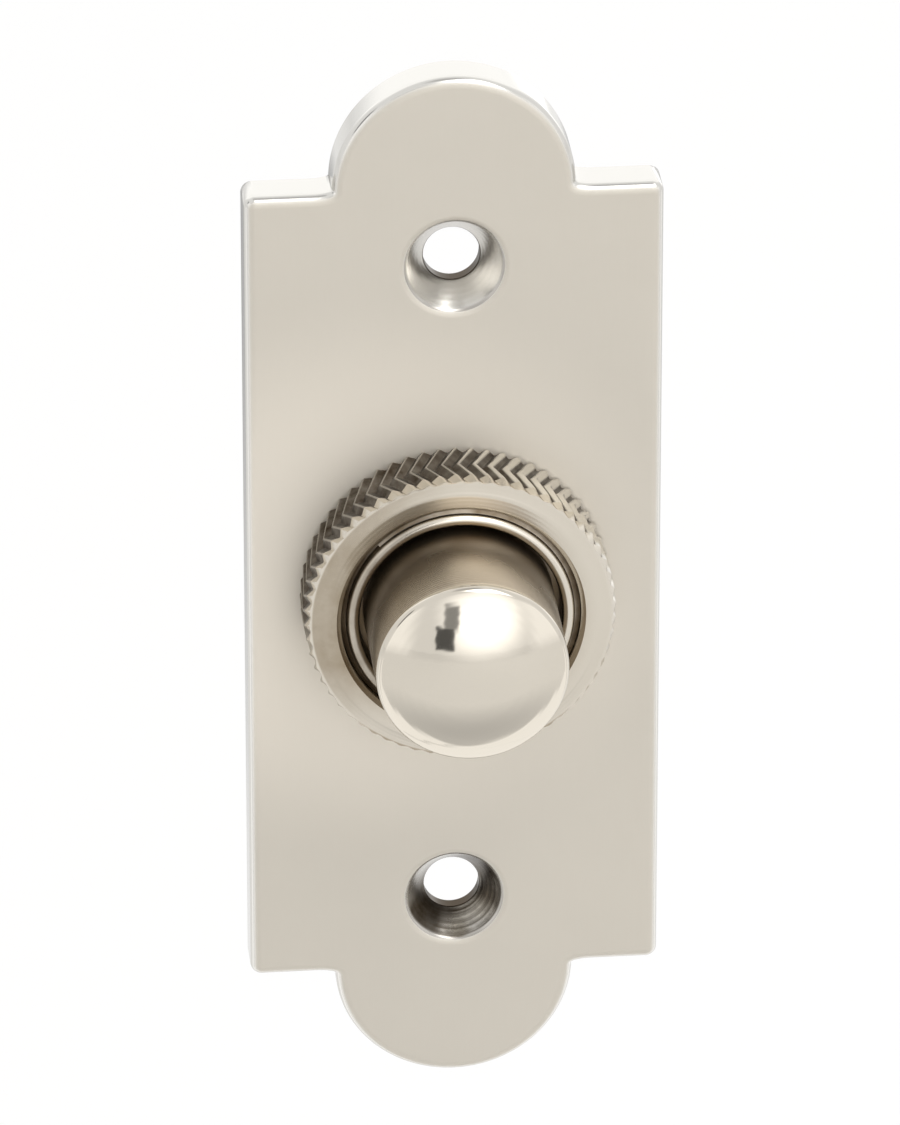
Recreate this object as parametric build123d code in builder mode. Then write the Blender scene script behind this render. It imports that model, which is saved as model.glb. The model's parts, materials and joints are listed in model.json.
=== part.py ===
from build123d import *
import os
from math import cos, radians, sin, sqrt

# Sizes are in millimetres. The wall is the plane y = 0, the front looks along -Y and z is up.
# Depths count forward from the wall, so what stands in the hole in the wall has a negative depth.

# Plate: a rectangle with a round lug at its top and bottom
plate_width = 33.0
plate_body_height = 69.0
lug_radius = 9.6
plate_thickness = 3.7
plate_corner_radius = 0.8
lug_root_radius = 1.0
plate_edge_radius = 0.9
screw_spacing = 56.0
screw_hole_radius = 2.25
countersink_radius = 4.0
countersink_angle = 66.0
countersink_rim_radius = 0.35

# Push button: a long plunger with a shallow dome, kept in the barrel by its flange
button_radius = 7.6
button_projection = 9.4
dome_height = 2.5
shoulder_radius = 0.9
button_flange_step = 0.45
button_flange_thickness = 1.5
button_travel = 2.5
tail_radius = 3.0
tail_length = 1.6

# Button tip: an insulating plug in the tail of the button
tip_head_radius = 2.5
tip_head_thickness = 1.2
tip_stem_radius = 1.5
tip_stem_length = 3.0
tip_edge = 0.4

# Barrel: a threaded bush with a rounded front lip, a flange behind the plate and a rear skirt
guide_length = 2.6
barrel_wall = 0.9
lip_width = 1.0
lip_height = 0.5
lip_setback = 0.1
thread_lead = 0.4
barrel_flange_step = 2.5
barrel_flange_thickness = 1.2
seat_step = 0.5
groove_depth = 0.45
skirt_wall = 0.85
skirt_end_length = 0.8

# Knurled collar: a ring nut with two rows of slanting teeth that meet in chevrons
collar_height = 5.8
collar_wall = 2.85
collar_face_drop = 0.15
collar_crest_inset = 1.5
collar_crest_radius = 0.25
collar_bevel_depth = 0.25
collar_lead = 0.35
knurl_teeth = 60
knurl_depth = 0.6
knurl_relief = 0.2
knurl_lean = 6.0
knurl_chamfer = 0.3
knurl_chamfer_length = 0.8

# Contact base: a moulded insulating cup that carries the contacts and stops the button
cup_depth = 6.6
cup_wall = 1.05
base_thickness = 3.0
channel_depth = 0.3

# Contact strips: a springy leaf under the button and a fixed strip below it
strip_width = 4.0
strip_thickness = 0.35
leaf_bend_radius = 1.0
leaf_rise = 38.0
leaf_crown_radius = 2.5
leaf_end_length = 1.2
foot_inner_length = 2.2
fixed_bend_radius = 0.6
fixed_end_length = 1.3

# Contact rivet: the contact point on the fixed strip
rivet_head_radius = 1.1
rivet_head_height = 0.5
rivet_shank_radius = 0.6
rivet_tail_radius = 0.9
rivet_tail_height = 0.35

# Terminals: two screws through the base, each with a washer and a nut for a wire
terminal_radius = 1.0
terminal_head_radius = 1.8
terminal_head_height = 1.1
terminal_slot_width = 0.4
terminal_slot_depth = 0.5
terminal_end_length = 0.6
washer_radius = 2.4
washer_thickness = 0.4
nut_across_flats = 4.0
nut_thickness = 1.6

# Retaining ring: an open spring ring in the groove of the skirt
ring_width = 1.5
ring_thickness = 0.7
ring_gap = 5.0

# Clearances
button_guide_gap = 0.45
running_clearance = 0.1
seat_gap = 0.1
thread_clearance = 0.05
fit_clearance = 0.1
small_fit = 0.05

# Radii, from the button outwards
bore_radius = button_radius + button_guide_gap
button_flange_radius = bore_radius + button_flange_step
counterbore_radius = button_flange_radius + running_clearance
thread_radius = counterbore_radius + barrel_wall
barrel_flange_radius = thread_radius + barrel_flange_step
seat_radius = counterbore_radius + seat_step
groove_radius = seat_radius + groove_depth
skirt_radius = groove_radius + skirt_wall
collar_bore_radius = thread_radius + thread_clearance
knurl_tip_radius = collar_bore_radius + collar_wall
knurl_root_radius = knurl_tip_radius - knurl_depth
collar_core_radius = knurl_root_radius - knurl_relief
collar_crest_ring = knurl_tip_radius - collar_crest_inset
collar_mouth_radius = collar_bore_radius + collar_lead
cup_outer_radius = counterbore_radius - fit_clearance
cup_inner_radius = cup_outer_radius - cup_wall

# Depths, from the collar's front to the back of the skirt
collar_front = plate_thickness + collar_height
knurl_front = collar_front - collar_face_drop
knurl_back = plate_thickness + knurl_relief
knurl_fold = (knurl_back + knurl_front) / 2
knurl_chamfer_back = knurl_front - knurl_chamfer_length
collar_mouth = collar_front - collar_bevel_depth
barrel_front = collar_front - lip_setback
lip_base = barrel_front - lip_height
stop_depth = barrel_front - guide_length
button_flange_front = stop_depth - seat_gap
button_flange_back = button_flange_front - button_flange_thickness
button_edge = collar_front + button_projection
tail_end = button_flange_back - tail_length
tip_end = tail_end - tip_head_thickness
cup_rim = button_flange_back - button_travel - seat_gap
cup_floor = cup_rim - cup_depth
base_back = cup_floor - base_thickness
groove_back = base_back - ring_thickness - running_clearance
skirt_back = groove_back - skirt_end_length

# Contact heights and depths, from the floor of the cup and the tip of the button
foot_depth = cup_floor - channel_depth + strip_thickness / 2
foot_front = foot_depth + strip_thickness / 2
crown_depth = tip_end - seat_gap - strip_thickness / 2
strip_reach = sqrt(cup_inner_radius**2 - (strip_width / 2) ** 2) - fit_clearance - strip_thickness / 2
bend_height = strip_reach - leaf_bend_radius
terminal_height = bend_height - terminal_head_radius
foot_inner_height = terminal_height - foot_inner_length
rise = radians(leaf_rise)
leaf_bend_rise = leaf_bend_radius * (1 + cos(rise))
leaf_crown_rise = leaf_crown_radius * (1 - cos(rise))
leaf_run = (crown_depth - foot_depth - leaf_bend_rise - leaf_crown_rise) / sin(rise)
rivet_front = tip_end - button_travel - strip_thickness - seat_gap
rivet_seat = rivet_front - rivet_head_height
fixed_depth = rivet_seat - strip_thickness / 2

# Planes: radius to the right and forward up, and height to the right and forward up
turning = Plane(origin=(0, 0, 0), x_dir=(1, 0, 0), z_dir=(0, 0, -1))
upright = Plane(origin=(0, 0, 0), x_dir=(0, 0, 1), z_dir=(1, 0, 0))

# Plate, with the recess for the barrel's flange in its back
with BuildPart() as plate:
    with BuildSketch(Plane.XZ) as plate_outline:
        Rectangle(plate_width, plate_body_height)
        with GridLocations(0, plate_body_height, 1, 2):
            Circle(lug_radius)
        columns = plate_outline.vertices().group_by(Axis.X)
        fillet(columns[1] + columns[-2], radius=lug_root_radius)
        columns = plate_outline.vertices().group_by(Axis.X)
        fillet(columns[0] + columns[-1], radius=plate_corner_radius)
    extrude(amount=plate_thickness)
    front_face = plate.faces().sort_by(Axis.Y)[0]
    fillet(front_face.edges(), radius=plate_edge_radius)
    with Locations(Plane.XZ.offset(plate_thickness)):
        with GridLocations(0, screw_spacing, 1, 2):
            CounterSinkHole(screw_hole_radius, countersink_radius, counter_sink_angle=countersink_angle)
    front_face = plate.faces().sort_by(Axis.Y)[0]
    fillet(front_face.inner_wires().edges(), radius=countersink_rim_radius)
    with BuildSketch(Plane.XZ):
        Circle(thread_radius + fit_clearance)
    extrude(amount=plate_thickness, mode=Mode.SUBTRACT)
    with BuildSketch(Plane.XZ):
        Circle(barrel_flange_radius + fit_clearance)
    extrude(amount=barrel_flange_thickness, mode=Mode.SUBTRACT)

# Barrel
with BuildPart() as barrel:
    with BuildSketch(turning):
        with BuildLine():
            Polyline(
                (bore_radius, lip_base),
                (bore_radius, stop_depth),
                (counterbore_radius, stop_depth),
                (counterbore_radius, cup_floor),
                (seat_radius, cup_floor),
                (seat_radius, base_back),
                (groove_radius, base_back),
                (groove_radius, groove_back),
                (seat_radius, groove_back),
                (seat_radius, skirt_back),
                (skirt_radius, skirt_back),
                (skirt_radius, 0),
                (barrel_flange_radius, 0),
                (barrel_flange_radius, barrel_flange_thickness),
                (thread_radius, barrel_flange_thickness),
                (thread_radius, lip_base - thread_lead),
                (bore_radius + lip_width, lip_base),
            )
            ThreePointArc(
                (bore_radius + lip_width, lip_base),
                (bore_radius + lip_width / 2, barrel_front),
                (bore_radius, lip_base),
            )
        make_face()
    revolve(axis=Axis.Y)

# Knurl sections from back to front: depth, lean and tip radius. The lean turns back at the fold.
half_pitch = 180 / knurl_teeth
chamfer_lean = knurl_lean * knurl_chamfer_length / (knurl_front - knurl_fold)
knurl_sections = [
    (knurl_back, 0, knurl_tip_radius),
    (knurl_fold, knurl_lean, knurl_tip_radius),
    (knurl_chamfer_back, chamfer_lean, knurl_tip_radius),
    (knurl_front, 0, knurl_tip_radius - knurl_chamfer),
]

# Knurled collar: the knurled blank, its turned face, and the bore with its bevel and lead
with BuildPart() as knurled_collar:
    for depth, lean, tip_radius in knurl_sections:
        corners = []
        for tooth in range(knurl_teeth):
            corners.append(Vector(tip_radius, 0).rotate(Axis.Z, 2 * tooth * half_pitch))
            corners.append(Vector(knurl_root_radius, 0).rotate(Axis.Z, (2 * tooth + 1) * half_pitch))
        with BuildSketch(Plane.XZ.offset(depth)):
            Polygon(*corners, rotation=lean, align=None)
    loft(ruled=True)
    with BuildSketch(turning):
        with BuildLine():
            Polyline(
                (0, plate_thickness),
                (collar_core_radius, plate_thickness),
                (collar_core_radius, knurl_front),
                (collar_crest_ring, collar_front),
                (0, collar_front),
                close=True,
            )
        make_face()
    revolve(axis=Axis.Y)
    with BuildSketch(turning):
        with BuildLine():
            Polyline(
                (0, plate_thickness),
                (collar_bore_radius, plate_thickness),
                (collar_bore_radius, collar_mouth - collar_lead),
                (collar_mouth_radius, collar_mouth),
                (collar_crest_ring, collar_front),
                (0, collar_front),
                close=True,
            )
        make_face()
    revolve(axis=Axis.Y, mode=Mode.SUBTRACT)
    fillet(knurled_collar.edges().sort_by(Axis.Y)[0], radius=collar_crest_radius)

# Push button, drilled at its tail for the tip
with BuildPart() as push_button:
    with BuildSketch(turning) as button_section:
        with BuildLine():
            Polyline(
                (0, button_edge + dome_height),
                (0, tail_end),
                (tail_radius, tail_end),
                (tail_radius, button_flange_back),
                (button_flange_radius, button_flange_back),
                (button_flange_radius, button_flange_front),
                (button_radius, button_flange_front),
                (button_radius, button_edge),
            )
            dome_radius = (button_radius**2 + dome_height**2) / (2 * dome_height)
            RadiusArc((button_radius, button_edge), (0, button_edge + dome_height), -dome_radius)
        make_face()
        shoulder = button_section.vertices().group_by(Axis.X)[-2].sort_by(Axis.Y)[-1]
        fillet(shoulder, radius=shoulder_radius)
    revolve(axis=Axis.Y)
    with BuildSketch(Plane.XZ.offset(tail_end)):
        Circle(tip_stem_radius + small_fit)
    extrude(amount=tip_stem_length + small_fit, mode=Mode.SUBTRACT)

# Button tip
with BuildPart() as button_tip:
    with BuildSketch(Plane.XZ.offset(tail_end)):
        Circle(tip_stem_radius)
    extrude(amount=tip_stem_length)
    with BuildSketch(Plane.XZ.offset(tail_end)):
        Circle(tip_head_radius)
    extrude(amount=-tip_head_thickness)
    chamfer(button_tip.edges().sort_by(Axis.Y)[-1], length=tip_edge)

# Contact base: floor, cup wall, terminal holes and the channel that keeps the strips from turning
with BuildPart() as contact_base:
    with BuildSketch(Plane.XZ.offset(base_back)):
        Circle(seat_radius - small_fit)
    extrude(amount=base_thickness)
    with BuildSketch(Plane.XZ.offset(cup_floor)):
        Circle(cup_outer_radius)
        Circle(cup_inner_radius, mode=Mode.SUBTRACT)
    extrude(amount=cup_depth)
    with BuildSketch(Plane.XZ.offset(cup_floor)):
        Rectangle(strip_width + 2 * fit_clearance, 2 * strip_reach + strip_thickness)
    extrude(amount=-channel_depth, mode=Mode.SUBTRACT)
    with BuildSketch(Plane.XZ.offset(base_back)):
        with GridLocations(0, 2 * terminal_height, 1, 2):
            Circle(terminal_radius + small_fit)
    extrude(amount=base_thickness, mode=Mode.SUBTRACT)

# Contact leaf: foot, hairpin bend, rising run, crown under the button and free end
with BuildPart() as contact_leaf:
    with BuildSketch(upright):
        with BuildLine():
            leaf_foot = Line((foot_inner_height, foot_depth), (bend_height, foot_depth))
            leaf_bend = JernArc(leaf_foot @ 1, leaf_foot % 1, leaf_bend_radius, 180 - leaf_rise)
            leaf_slope = PolarLine(leaf_bend @ 1, leaf_run, direction=leaf_bend % 1)
            leaf_crown = JernArc(leaf_slope @ 1, leaf_slope % 1, leaf_crown_radius, 2 * leaf_rise)
            PolarLine(leaf_crown @ 1, leaf_end_length, direction=leaf_crown % 1)
        trace(line_width=strip_thickness)
    extrude(amount=strip_width / 2, both=True)
    with BuildSketch(Plane.XZ.offset(foot_front)):
        with Locations((0, terminal_height)):
            Circle(terminal_radius + small_fit)
    extrude(amount=-strip_thickness, mode=Mode.SUBTRACT)

# Fixed contact: foot, riser and the end that carries the rivet
with BuildPart() as fixed_contact:
    with BuildSketch(upright):
        with BuildLine():
            FilletPolyline(
                (-bend_height, foot_depth),
                (-foot_inner_height, foot_depth),
                (-foot_inner_height, fixed_depth),
                (fixed_end_length, fixed_depth),
                radius=fixed_bend_radius,
            )
        trace(line_width=strip_thickness)
    extrude(amount=strip_width / 2, both=True)
    with BuildSketch(Plane.XZ.offset(foot_front)):
        with Locations((0, -terminal_height)):
            Circle(terminal_radius + small_fit)
    extrude(amount=-strip_thickness, mode=Mode.SUBTRACT)
    with BuildSketch(Plane.XZ.offset(rivet_seat)):
        Circle(rivet_shank_radius + small_fit)
    extrude(amount=-strip_thickness, mode=Mode.SUBTRACT)

# Contact rivet: a domed head, a shank through the strip and a flat tail
with BuildPart() as contact_rivet:
    rivet_back = rivet_seat - strip_thickness
    with BuildSketch(turning):
        with BuildLine():
            Polyline(
                (0, rivet_front),
                (0, rivet_back - rivet_tail_height),
                (rivet_tail_radius, rivet_back - rivet_tail_height),
                (rivet_tail_radius, rivet_back),
                (rivet_shank_radius, rivet_back),
                (rivet_shank_radius, rivet_seat),
                (rivet_head_radius, rivet_seat),
            )
            rivet_dome_radius = (rivet_head_radius**2 + rivet_head_height**2) / (2 * rivet_head_height)
            RadiusArc((rivet_head_radius, rivet_seat), (0, rivet_front), -rivet_dome_radius)
        make_face()
    revolve(axis=Axis.Y)

# Terminal screws: slotted cheese heads in front of the strips, ends behind the nuts
washer_back = base_back - washer_thickness
nut_back = washer_back - nut_thickness
with BuildPart() as terminal_screws:
    with BuildSketch(Plane.XZ.offset(foot_front)):
        with Locations((0, terminal_height)):
            Circle(terminal_head_radius)
    extrude(amount=terminal_head_height)
    with BuildSketch(Plane.XZ.offset(nut_back - terminal_end_length)):
        with Locations((0, terminal_height)):
            Circle(terminal_radius)
    extrude(amount=foot_front - nut_back + terminal_end_length)
    with BuildSketch(Plane.XZ.offset(foot_front + terminal_head_height)):
        with Locations((0, terminal_height)):
            Rectangle(2 * terminal_head_radius, terminal_slot_width)
    extrude(amount=-terminal_slot_depth, mode=Mode.SUBTRACT)
    mirror(about=Plane.XY)

# Terminal washers
with BuildPart() as terminal_washers:
    with BuildSketch(Plane.XZ.offset(washer_back)):
        with GridLocations(0, 2 * terminal_height, 1, 2):
            Circle(washer_radius)
            Circle(terminal_radius + small_fit, mode=Mode.SUBTRACT)
    extrude(amount=washer_thickness)

# Terminal nuts
with BuildPart() as terminal_nuts:
    with BuildSketch(Plane.XZ.offset(nut_back)):
        with GridLocations(0, 2 * terminal_height, 1, 2):
            RegularPolygon(nut_across_flats / 2, side_count=6, major_radius=False)
            Circle(terminal_radius + small_fit, mode=Mode.SUBTRACT)
    extrude(amount=nut_thickness)

# Retaining ring, open at the bottom
with BuildPart() as retaining_ring:
    with BuildSketch(Plane.XZ.offset(base_back)):
        Circle(groove_radius - small_fit)
        Circle(groove_radius - small_fit - ring_width, mode=Mode.SUBTRACT)
        Rectangle(ring_gap, groove_radius, align=(Align.CENTER, Align.MAX), mode=Mode.SUBTRACT)
    extrude(amount=-ring_thickness)

# One file for each piece
plate.part.label = "plate"
barrel.part.label = "barrel"
knurled_collar.part.label = "knurled_collar"
push_button.part.label = "push_button"
button_tip.part.label = "button_tip"
contact_base.part.label = "contact_base"
contact_leaf.part.label = "contact_leaf"
fixed_contact.part.label = "fixed_contact"
contact_rivet.part.label = "contact_rivet"
terminal_screws.part.label = "terminal_screws"
terminal_washers.part.label = "terminal_washers"
terminal_nuts.part.label = "terminal_nuts"
retaining_ring.part.label = "retaining_ring"

os.makedirs("parts", exist_ok=True)
export_step(plate.part, "parts/plate.step")
export_step(barrel.part, "parts/barrel.step")
export_step(knurled_collar.part, "parts/knurled_collar.step")
export_step(push_button.part, "parts/push_button.step")
export_step(button_tip.part, "parts/button_tip.step")
export_step(contact_base.part, "parts/contact_base.step")
export_step(contact_leaf.part, "parts/contact_leaf.step")
export_step(fixed_contact.part, "parts/fixed_contact.step")
export_step(contact_rivet.part, "parts/contact_rivet.step")
export_step(terminal_screws.part, "parts/terminal_screws.step")
export_step(terminal_washers.part, "parts/terminal_washers.step")
export_step(terminal_nuts.part, "parts/terminal_nuts.step")
export_step(retaining_ring.part, "parts/retaining_ring.step")
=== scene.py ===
import json
from math import atan2, cos, degrees, pi, radians, sin, sqrt, tan, tau

import bmesh
import bpy
from bmesh.types import BMEdge, BMVert
from mathutils import Matrix, Vector


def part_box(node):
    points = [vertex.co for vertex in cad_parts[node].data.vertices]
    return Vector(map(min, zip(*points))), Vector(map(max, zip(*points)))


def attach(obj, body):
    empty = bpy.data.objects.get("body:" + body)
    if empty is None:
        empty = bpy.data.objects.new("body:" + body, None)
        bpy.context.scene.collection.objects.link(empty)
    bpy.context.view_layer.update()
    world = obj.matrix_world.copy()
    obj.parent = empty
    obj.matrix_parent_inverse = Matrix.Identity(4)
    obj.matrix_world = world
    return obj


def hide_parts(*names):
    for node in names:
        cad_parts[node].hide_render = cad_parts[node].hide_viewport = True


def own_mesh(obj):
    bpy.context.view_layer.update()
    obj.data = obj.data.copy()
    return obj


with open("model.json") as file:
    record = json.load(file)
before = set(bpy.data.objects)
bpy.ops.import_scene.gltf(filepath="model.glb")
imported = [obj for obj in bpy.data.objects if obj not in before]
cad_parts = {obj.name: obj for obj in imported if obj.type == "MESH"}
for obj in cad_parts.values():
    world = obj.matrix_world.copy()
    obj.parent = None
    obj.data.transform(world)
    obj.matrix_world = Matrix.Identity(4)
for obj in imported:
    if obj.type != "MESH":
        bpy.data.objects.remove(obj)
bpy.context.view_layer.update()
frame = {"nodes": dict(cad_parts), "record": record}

# Sizes are in millimetres and meshes are scaled to metres when they are finished.
# Pieces are modelled lying down, with their depth up, and then stood up to face along -Y.
MM = 0.001
STAND_UP = Matrix.Rotation(radians(90), 4, "X")
# Facets round a turned piece, and round a small one
ROUND = 192
SMALL_ROUND = 64
# Edges and faces are found by their place to within NEAR, and a cutter reaches OVER past what it cuts
NEAR = 1e-3
OVER = 1.0


def box_mm(node):
    """The lowest and highest corner of a CAD node, in millimetres."""
    low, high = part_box(node)
    return low / MM, high / MM


# Plate
plate_low, plate_high = box_mm("plate")
plate_width = 2 * plate_high.x
plate_thickness = -plate_low.y
lug_radius = 9.6
plate_body_half = plate_high.z - lug_radius
lug_root_radius = 1.6
plate_edge_radius = 0.9
plate_back_edge = 0.15
mounts = {mount["name"]: mount for mount in frame["record"]["mounts"]}
screw_height = mounts["screw_holes"]["dims"]["spacing_y_mm"] / 2
screw_hole_radius = mounts["screw_holes"]["dims"]["hole_r_mm"]
countersink_radius = 4.0
countersink_angle = 66.0
countersink_rim = 0.45
fit_clearance = 0.1

# Knurled collar
collar_high = box_mm("knurled_collar")[1]
collar_back = -collar_high.y
collar_length = 5.8
collar_front = collar_back + collar_length
collar_face_drop = 0.15
collar_bore = 9.55
collar_lead = 0.35
knurl_tip = collar_high.x
knurl_depth = 0.45
knurl_root = knurl_tip - knurl_depth
knurl_relief = 0.2
knurl_teeth = 60
knurl_lean = 6.0
knurl_steps = 3
knurl_low = collar_back + knurl_relief
knurl_high = collar_front - collar_face_drop
knurl_fold = (knurl_low + knurl_high) / 2
knurl_chamfer = 0.3
knurl_chamfer_length = 0.8
knurl_turned_down = knurl_high - knurl_chamfer_length
knurl_crest_edge = 0.09
knurl_root_edge = 0.05
collar_core = knurl_root - knurl_relief
collar_face_width = 1.5
collar_crest_ring = knurl_tip - collar_face_width
collar_crest_edge = 0.16
collar_bevel_depth = 0.02

# Barrel
barrel_low, barrel_high = box_mm("barrel")
flange_radius = barrel_high.x
flange_thickness = 1.2
barrel_front = -barrel_low.y
skirt_back = -barrel_high.y
bore_radius = 8.05
lip_radius = 0.5
lip_taper = 0.16
counterbore_radius = 8.6
guide_length = 2.6
thread_crest = 9.5
thread_root = 9.12
thread_pitch = 0.8
thread_gap = 1.0
thread_cone = 0.68
seat_radius = 9.1
groove_radius = 9.55
skirt_radius = 10.4
skirt_end_length = 0.8
turned_edge = 0.12

# Push button
button_low, button_high = box_mm("push_button")
button_radius = 7.6
button_flange_radius = button_high.x
button_apex = -button_low.y
tail_end = -button_high.y
dome_height = 2.5
shoulder_radius = 0.9
button_flange_thickness = 1.5
tail_radius = 3.0
tail_length = 1.6
tip_hole_radius = 1.55
tip_hole_length = 3.05

# Contact base and the retaining ring behind it
base_low, base_high = box_mm("contact_base")
base_radius = base_high.x
base_back = -base_high.y
cup_rim = -base_low.y
base_thickness = 3.0
cup_floor = base_back + base_thickness
cup_outer_radius = counterbore_radius - fit_clearance
cup_wall = 1.05
cup_inner_radius = cup_outer_radius - cup_wall
channel_depth = 0.3
moulded_edge = 0.25
ring_low, ring_high = box_mm("retaining_ring")
ring_width = 1.5
ring_gap = 5.0
ring_edge = 0.1

# Contact leaf
leaf_low, leaf_high = box_mm("contact_leaf")
strip_width = leaf_high.x - leaf_low.x
strip_thickness = 0.35
leaf_bend_radius = 1.0
leaf_rise = radians(38.0)
leaf_crown_radius = 2.5
leaf_end_length = 1.2
foot_inner_length = 2.2

# Terminals
screw_low, screw_high = box_mm("terminal_screws")
washer_low, washer_high = box_mm("terminal_washers")
nut_low, nut_high = box_mm("terminal_nuts")
terminal_head_radius = 1.8
terminal_height = screw_high.z - terminal_head_radius
terminal_radius = 1.0
terminal_thread_root = 0.8
terminal_pitch = 0.4
terminal_head_height = 1.1
terminal_slot_width = 0.4
terminal_slot_depth = 0.5
terminal_head_edge = 0.2
terminal_chamfer = 0.3
washer_radius = washer_high.x
terminal_fit = 0.05
nut_corner_chamfer = 25.0
small_edge = 0.08


def linear(code):
    """The linear colour of an sRGB hex code."""
    parts = [int(code[i:i + 2], 16) / 255 for i in (1, 3, 5)]
    return [p / 12.92 if p <= 0.04045 else ((p + 0.055) / 1.055) ** 2.4 for p in parts] + [1.0]


def per_mm(size):
    """The texture scale at which a feature is about this many millimetres across."""
    return 1 / (size * MM)


def bands(size):
    """The wave texture scale at which one line comes every so many millimetres.
    At a scale of 1 the texture turns by 20 radians in a metre."""
    return tau / (20 * size * MM)


def add(tree, kind, sockets=None, **settings):
    """Adds a node. A socket takes a value, or another node's output as a link."""
    node = tree.nodes.new("ShaderNode" + kind)
    for name, value in settings.items():
        setattr(node, name, value)
    for name, value in (sockets or {}).items():
        if isinstance(value, bpy.types.NodeSocket):
            tree.links.new(value, node.inputs[name])
        else:
            node.inputs[name].default_value = value
    return node


def new_material(name):
    """An empty material and its node tree."""
    material = bpy.data.materials.new(name)
    material.use_nodes = True
    material.node_tree.nodes.clear()
    return material, material.node_tree


def overlap(tree, *limits):
    """The share of a place where everything holds. Each limit is a share, or a value with two sizes in
    millimetres, between which its share grows smoothly from 0 to 1."""
    total = None
    for share in limits:
        if isinstance(share, tuple):
            value, none, full = share
            share = add(tree, "MapRange", {"Value": value, "From Min": none * MM, "From Max": full * MM},
                        interpolation_type="SMOOTHSTEP").outputs[0]
        if total is not None:
            share = add(tree, "Math", {0: total, 1: share}, operation="MULTIPLY").outputs[0]
        total = share
    return total


def radius_of(tree, place):
    """The distance from the axis along Y, in metres."""
    flat = add(tree, "Mapping", {"Vector": place, "Scale": (1.0, 0.0, 1.0)})
    return add(tree, "VectorMath", {0: flat.outputs["Vector"]}, operation="LENGTH").outputs["Value"]


def folded(tree, place):
    """Coordinates that start at the middle of the nearer screw hole, with Z away from the button."""
    axis = add(tree, "SeparateXYZ", {0: place})
    height = add(tree, "Math", {0: axis.outputs["Z"]}, operation="ABSOLUTE")
    height = add(tree, "Math", {0: height.outputs[0], 1: screw_height * MM}, operation="SUBTRACT")
    return add(tree, "CombineXYZ", {
        "X": axis.outputs["X"], "Y": axis.outputs["Y"], "Z": height.outputs[0]}).outputs[0]


def clouded(tree, place, size, low, high, detail=4.0):
    """A share that drifts between two values in clouds of a size in millimetres."""
    clouds = add(tree, "TexNoise", {
        "Vector": place, "Scale": per_mm(size), "Detail": detail, "Roughness": 0.6})
    return add(tree, "MapRange", {
        "Value": clouds.outputs["Fac"], "From Min": 0.3, "From Max": 0.7,
        "To Min": low, "To Max": high}).outputs[0]


def polished(tree, place):
    """What polishing by hand leaves: soft clouds in the tone, and a bump of soft waves."""
    clouds = add(tree, "TexNoise", {"Vector": place, "Scale": per_mm(9.0), "Detail": 3.0})
    waves = add(tree, "TexNoise", {"Vector": place, "Scale": per_mm(5.0), "Detail": 1.0})
    bump = add(tree, "Bump", {"Height": waves.outputs["Fac"], "Strength": 1.0, "Distance": 0.012 * MM})
    return clouds.outputs["Fac"], bump


def nickel(name, film_and_shade_layers, film_and_shade_colour, gloss=(0.05, 0.1), film_dull=0.2, metal=("#D0C9BC", "#D6CFC3"),
           lines=None, centred=None):
    """Nickel plate on brass, turned and then polished by hand. It is a warm grey mirror with soft waves,
    turning lines, and a brown film where the mop doesn't reach, which on some pieces is also painted shade.
    Real turning lines are too fine to show, so they are drawn several times as coarse.
    film_and_shade_layers makes layers of film and painted shade from the tree and the Object coordinates,
    of which the thickest counts, lines are the settings of the turning lines, and centred moves the
    coordinates to their middle."""
    turning_line = 0.32
    material, tree = new_material(name)
    place = add(tree, "TexCoord").outputs["Object"]
    clouds, bump = polished(tree, place)
    tone = add(tree, "Mix", {0: clouds, 6: linear(metal[0]), 7: linear(metal[1])}, data_type="RGBA")
    share, *layers = film_and_shade_layers(tree, place)
    for layer in layers:
        share = add(tree, "Math", {0: share, 1: layer}, operation="MAXIMUM").outputs[0]
    colour = add(tree, "Mix", {0: share, 6: tone.outputs[2], 7: linear(film_and_shade_colour)}, data_type="RGBA")
    buffed = add(tree, "MapRange", {
        "Value": clouds, "From Min": 0.35, "From Max": 0.65, "To Min": gloss[0], "To Max": gloss[1]})
    roughness = add(tree, "Math", {0: share, 1: film_dull, 2: buffed.outputs[0]}, operation="MULTIPLY_ADD")
    if lines:
        turning = add(tree, "TexWave", {
            "Vector": centred(tree, place) if centred else place, "Scale": bands(turning_line),
            "Distortion": 0.6, "Detail": 2.0}, **lines)
        bump = add(tree, "Bump", {
            "Height": turning.outputs["Fac"], "Normal": bump.outputs[0], "Strength": 1.0,
            "Distance": 0.0016 * MM})
    shader = add(tree, "BsdfPrincipled", {
        "Base Color": colour.outputs[2], "Metallic": 1.0, "Roughness": roughness.outputs[0],
        "Normal": bump.outputs[0]})
    add(tree, "OutputMaterial", {"Surface": shader.outputs[0]})
    return material


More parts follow.
